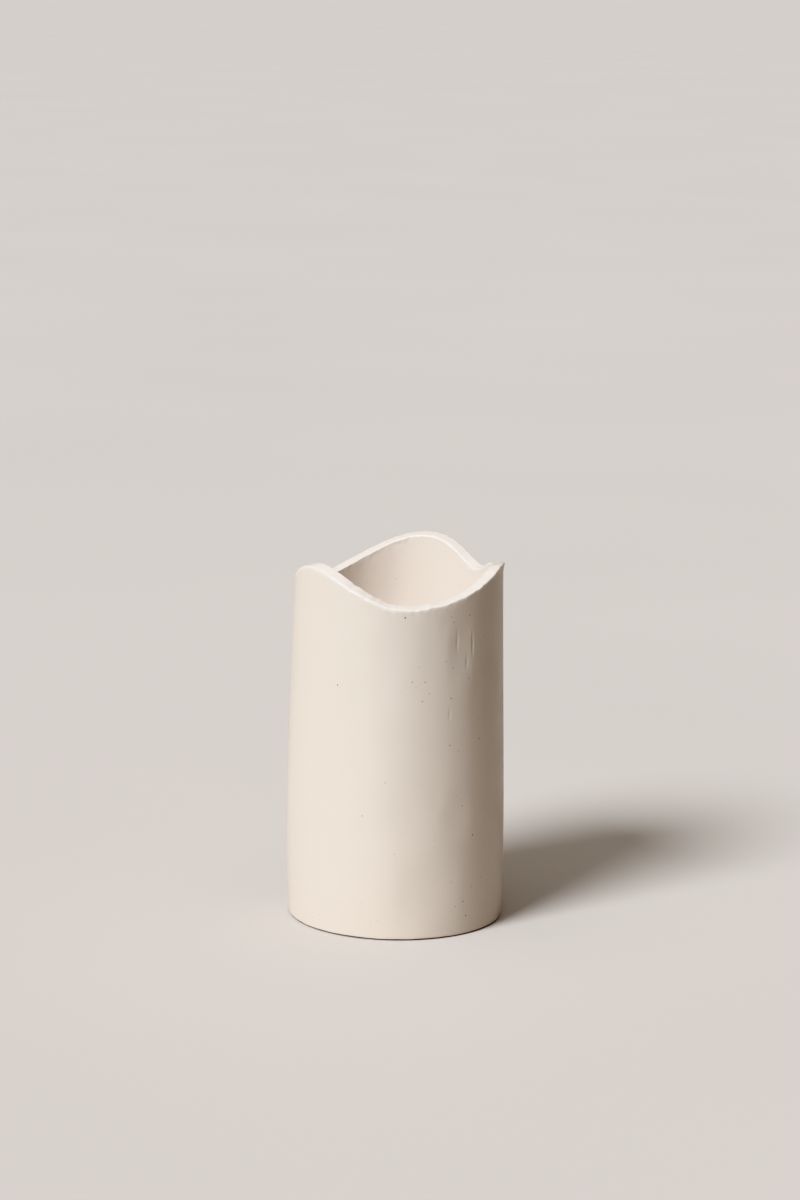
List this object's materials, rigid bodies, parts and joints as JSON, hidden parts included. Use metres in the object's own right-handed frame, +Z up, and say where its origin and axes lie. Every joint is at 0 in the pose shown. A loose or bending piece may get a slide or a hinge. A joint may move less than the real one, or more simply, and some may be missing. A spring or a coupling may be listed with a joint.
{
  "type": "utensil holder",
  "caption": "Tall round slab-built stoneware jar with an open top and an uneven wavy rim, glazed inside and out, that stands on a kitchen counter and holds utensils upright.",
  "frame": {"origin": "centre of the flat foot, on the surface that the jar stands on", "axes": "+Z up along the axis of the jar, -Y the front, where the lowest dip of the rim is, +X to the right seen from the front"},
  "size_m": [0.1016, 0.1016, 0.1734],
  "materials": {
    "bare_stoneware": "bare fired clay, fine-grained and matt",
    "ivory_glaze": "ivory satin glaze"
  },
  "bodies": {
    "root": {"base_slab": "bare_stoneware", "wall_slab": "bare_stoneware", "corner_coil": "bare_stoneware", "liner_glaze": "ivory_glaze", "outer_glaze": "ivory_glaze"}
  },
  "joints": []
}
